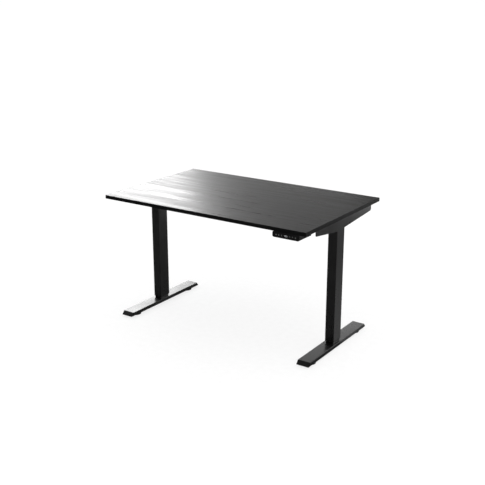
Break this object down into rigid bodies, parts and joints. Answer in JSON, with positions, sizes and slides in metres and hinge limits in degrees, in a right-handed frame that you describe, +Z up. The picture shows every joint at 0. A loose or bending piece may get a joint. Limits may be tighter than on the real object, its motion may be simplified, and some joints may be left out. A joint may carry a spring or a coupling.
{
  "type": "height adjustable desk",
  "caption": "Rectangular desk on two telescopic legs with flat feet, raised and lowered by a motor, a cross shaft and lead screws from a handset under the front edge.",
  "frame": {"origin": "on the floor, in the middle of the desk", "axes": "+X to the right, +Y to the back, +Z up; the user sits on the -Y side"},
  "size_m": [1.219, 0.762, 0.711],
  "materials": {
    "laminate": "wood-grain laminate, semi-gloss",
    "edge_band": "satin",
    "powder_coat": "fine satin powder coat",
    "black_plastic": "fine moulded texture",
    "leveller_plastic": "moulded",
    "nylon": "moulded",
    "steel": "machined",
    "motor_paint": "satin paint",
    "zinc": "die cast",
    "circuit_board": "solder mask",
    "display": "gloss",
    "key_plastic": "satin",
    "lead_sheath": "matt"
  },
  "bodies": {
    "left_base": {"left_foot": "powder_coat", "left_foot_cap_front": "black_plastic", "left_foot_cap_rear": "black_plastic", "left_inner_column": "powder_coat", "left_lead_nut": "nylon", "left_upper_glide": "nylon"},
    "lift": {"desktop": "laminate", "desktop_edge_band": "edge_band", "front_cross_rail": "powder_coat", "rear_cross_rail": "powder_coat", "left_outer_column": "powder_coat", "left_bottom_collar": "black_plastic", "left_thrust_bearing": "steel", "left_head_frame": "powder_coat", "left_gearbox_cover": "black_plastic", "left_side_bracket": "powder_coat", "right_outer_column": "powder_coat", "right_bottom_collar": "black_plastic", "right_thrust_bearing": "steel", "right_head_frame": "powder_coat", "right_gearbox_cover": "black_plastic", "right_side_bracket": "powder_coat", "motor_gear_case": "zinc", "motor_gear_lid": "zinc", "motor_can": "motor_paint", "motor_lead": "lead_sheath", "control_box_plate": "zinc", "control_box_cover": "black_plastic", "power_inlet": "black_plastic", "control_board": "circuit_board", "handset_body": "black_plastic", "handset_bezel": "black_plastic", "handset_display": "display", "handset_board": "circuit_board", "handset_lead": "lead_sheath"},
    "right_base": {"right_foot": "powder_coat", "right_foot_cap_front": "black_plastic", "right_foot_cap_rear": "black_plastic", "right_inner_column": "powder_coat", "right_lead_nut": "nylon", "right_upper_glide": "nylon"},
    "drive_shaft": {"drive_shaft": "steel", "left_shaft_gear": "steel", "right_shaft_gear": "steel", "shaft_wheel": "steel"},
    "left_screw": {"left_lead_screw": "steel", "left_screw_gear": "steel"},
    "right_screw": {"right_lead_screw": "steel", "right_screw_gear": "steel"},
    "motor_pinion": {"motor_pinion": "steel"},
    "left_leveller_front": {"left_leveller_front": "leveller_plastic"},
    "left_leveller_rear": {"left_leveller_rear": "leveller_plastic"},
    "right_leveller_front": {"right_leveller_front": "leveller_plastic"},
    "right_leveller_rear": {"right_leveller_rear": "leveller_plastic"},
    "button_up": {"button_up": "key_plastic"},
    "button_down": {"button_down": "key_plastic"},
    "button_memory": {"button_memory": "key_plastic"},
    "button_1": {"button_1": "key_plastic"},
    "button_2": {"button_2": "key_plastic"},
    "button_3": {"button_3": "key_plastic"}
  },
  "joints": [
    {"name": "lift", "type": "slide", "parent": "left_base", "child": "lift", "axis": [0, 0, 1], "range_m": [0, 0.46]},
    {"name": "right_foot_slide", "type": "slide", "parent": "lift", "child": "right_base", "axis": [0, 0, -1], "range_m": [0, 0.46]},
    {"name": "drive_shaft_spin", "type": "hinge", "parent": "lift", "child": "drive_shaft", "pos_m": [0, 0, 0.664], "axis": [-1, 0, 0], "range_deg": [0, 20705]},
    {"name": "left_screw_spin", "type": "hinge", "parent": "lift", "child": "left_screw", "pos_m": [-0.563, 0, 0.35], "axis": [0, 0, -1], "range_deg": [0, 20705]},
    {"name": "right_screw_spin", "type": "hinge", "parent": "lift", "child": "right_screw", "pos_m": [0.563, 0, 0.35], "axis": [0, 0, 1], "range_deg": [0, 20705]},
    {"name": "motor_pinion_spin", "type": "hinge", "parent": "lift", "child": "motor_pinion", "pos_m": [-0.41, 0, 0.63], "axis": [1, 0, 0], "range_deg": [0, 29580]},
    {"name": "left_leveller_front_screw", "type": "slide", "parent": "left_base", "child": "left_leveller_front", "axis": [0, 0, -1], "range_m": [0, 0.01]},
    {"name": "left_leveller_rear_screw", "type": "slide", "parent": "left_base", "child": "left_leveller_rear", "axis": [0, 0, -1], "range_m": [0, 0.01]},
    {"name": "right_leveller_front_screw", "type": "slide", "parent": "right_base", "child": "right_leveller_front", "axis": [0, 0, -1], "range_m": [0, 0.01]},
    {"name": "right_leveller_rear_screw", "type": "slide", "parent": "right_base", "child": "right_leveller_rear", "axis": [0, 0, -1], "range_m": [0, 0.01]},
    {"name": "button_up_press", "type": "slide", "parent": "lift", "child": "button_up", "axis": [0, 1, 0], "range_m": [0, 0.0008], "stiffness_N_per_m": 800, "springref_m": -0.001},
    {"name": "button_down_press", "type": "slide", "parent": "lift", "child": "button_down", "axis": [0, 1, 0], "range_m": [0, 0.0008], "stiffness_N_per_m": 800, "springref_m": -0.001},
    {"name": "button_memory_press", "type": "slide", "parent": "lift", "child": "button_memory", "axis": [0, 1, 0], "range_m": [0, 0.0008], "stiffness_N_per_m": 800, "springref_m": -0.001},
    {"name": "button_1_press", "type": "slide", "parent": "lift", "child": "button_1", "axis": [0, 1, 0], "range_m": [0, 0.0008], "stiffness_N_per_m": 800, "springref_m": -0.001},
    {"name": "button_2_press", "type": "slide", "parent": "lift", "child": "button_2", "axis": [0, 1, 0], "range_m": [0, 0.0008], "stiffness_N_per_m": 800, "springref_m": -0.001},
    {"name": "button_3_press", "type": "slide", "parent": "lift", "child": "button_3", "axis": [0, 1, 0], "range_m": [0, 0.0008], "stiffness_N_per_m": 800, "springref_m": -0.001}
  ],
  "couplings": [
    {"joint": "right_foot_slide", "follows": "lift", "ratio": 1},
    {"joint": "drive_shaft_spin", "follows": "lift", "rad_per_m": 785.4},
    {"joint": "left_screw_spin", "follows": "lift", "rad_per_m": 785.4},
    {"joint": "right_screw_spin", "follows": "lift", "rad_per_m": 785.4},
    {"joint": "motor_pinion_spin", "follows": "lift", "rad_per_m": 1122}
  ]
}
